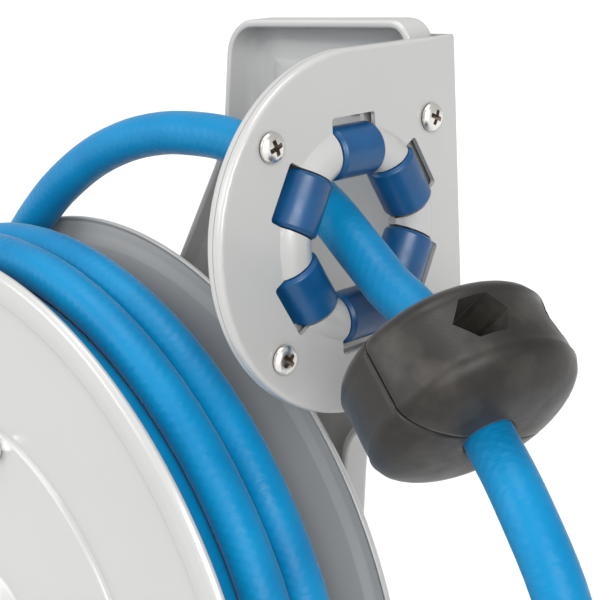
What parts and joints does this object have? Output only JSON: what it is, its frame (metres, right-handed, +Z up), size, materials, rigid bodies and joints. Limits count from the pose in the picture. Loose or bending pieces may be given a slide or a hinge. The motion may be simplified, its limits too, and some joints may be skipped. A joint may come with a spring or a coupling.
{
  "type": "spring-retractable air hose reel",
  "caption": "Spring-retractable air hose reel: grey sheet-metal drum on a pedestal arm, roller guide ring, blue hose with a rubber stop.",
  "frame": {"origin": "middle of the footprint under the drum, on the floor that the base plate stands on", "axes": "+Z up, +Y along the drum's axle towards the pedestal arm, +X the way the hose leaves"},
  "size_m": [0.6076, 0.2074, 0.423],
  "materials": {
    "grey_paint": "satin",
    "blue_hose": "satin",
    "black_rubber": "satin",
    "brass": "satin",
    "blue_plastic": "satin",
    "plain_steel": "satin",
    "zinc_steel": "satin"
  },
  "bodies": {
    "stand": {"base_plate": "grey_paint", "pedestal_arm": "grey_paint", "foot_bolt_1": "zinc_steel", "foot_bolt_2": "zinc_steel", "foot_bolt_3": "zinc_steel", "foot_bolt_4": "zinc_steel", "axle": "plain_steel", "axle_washer": "zinc_steel", "axle_nut": "zinc_steel", "retaining_ring": "plain_steel", "inlet_fitting": "brass", "spring_arbor": "plain_steel", "power_spring": "plain_steel", "roller_plate_front": "grey_paint", "roller_plate_rear": "grey_paint", "roller_pin_1": "plain_steel", "roller_pin_2": "plain_steel", "roller_pin_3": "plain_steel", "roller_pin_4": "plain_steel", "roller_pin_5": "plain_steel", "roller_pin_6": "plain_steel", "ring_screw_1": "zinc_steel", "ring_screw_2": "zinc_steel", "ring_screw_3": "zinc_steel", "ring_screw_4": "zinc_steel", "bracket_bolt_1": "zinc_steel", "bracket_bolt_2": "zinc_steel", "pawl_pin": "zinc_steel", "pawl_spring": "plain_steel", "hose_run": "blue_hose", "stop_half_upper": "black_rubber", "stop_half_lower": "black_rubber", "stop_bolt_1": "zinc_steel", "stop_bolt_2": "zinc_steel", "stop_nut_1": "zinc_steel", "stop_nut_2": "zinc_steel", "end_ferrule": "brass", "end_fitting": "brass"},
    "drum": {"near_flange": "grey_paint", "far_flange": "grey_paint", "drum_barrel": "grey_paint", "spring_cover": "grey_paint", "cover_bolt_1": "zinc_steel", "cover_bolt_2": "zinc_steel", "cover_bolt_3": "zinc_steel", "near_bush": "brass", "far_bush": "brass", "swivel_housing": "brass", "swivel_seal_1": "black_rubber", "swivel_seal_2": "black_rubber", "riser_pipe": "brass", "ratchet_wheel": "plain_steel", "hose_coil": "blue_hose"},
    "pawl": {"pawl": "zinc_steel"},
    "roller_1": {"roller_1": "blue_plastic"},
    "roller_2": {"roller_2": "blue_plastic"},
    "roller_3": {"roller_3": "blue_plastic"},
    "roller_4": {"roller_4": "blue_plastic"},
    "roller_5": {"roller_5": "blue_plastic"},
    "roller_6": {"roller_6": "blue_plastic"}
  },
  "joints": [
    {"name": "drum_turn", "type": "hinge", "parent": "stand", "child": "drum", "pos_m": [0, -0.035, 0.184], "axis": [0, 1, 0], "continuous": true},
    {"name": "pawl_swing", "type": "hinge", "parent": "stand", "child": "pawl", "pos_m": [-0.02772, 0.032, 0.25261], "axis": [0, -1, 0], "range_deg": [0, 28], "stiffness_Nm_per_rad": 0.02, "springref_deg": -11.46},
    {"name": "roller_1_turn", "type": "hinge", "parent": "stand", "child": "roller_1", "pos_m": [0.14965, 0.01556, 0.3706], "axis": [0, -0.5, 0.866], "continuous": true},
    {"name": "roller_2_turn", "type": "hinge", "parent": "stand", "child": "roller_2", "pos_m": [0.14965, -0.008, 0.3842], "axis": [0, -1, 0], "continuous": true},
    {"name": "roller_3_turn", "type": "hinge", "parent": "stand", "child": "roller_3", "pos_m": [0.14965, -0.03156, 0.3706], "axis": [0, -0.5, -0.866], "continuous": true},
    {"name": "roller_4_turn", "type": "hinge", "parent": "stand", "child": "roller_4", "pos_m": [0.14965, -0.03156, 0.3434], "axis": [0, 0.5, -0.866], "continuous": true},
    {"name": "roller_5_turn", "type": "hinge", "parent": "stand", "child": "roller_5", "pos_m": [0.14965, -0.008, 0.3298], "axis": [0, 1, 0], "continuous": true},
    {"name": "roller_6_turn", "type": "hinge", "parent": "stand", "child": "roller_6", "pos_m": [0.14965, 0.01556, 0.3434], "axis": [0, 0.5, 0.866], "continuous": true}
  ]
}
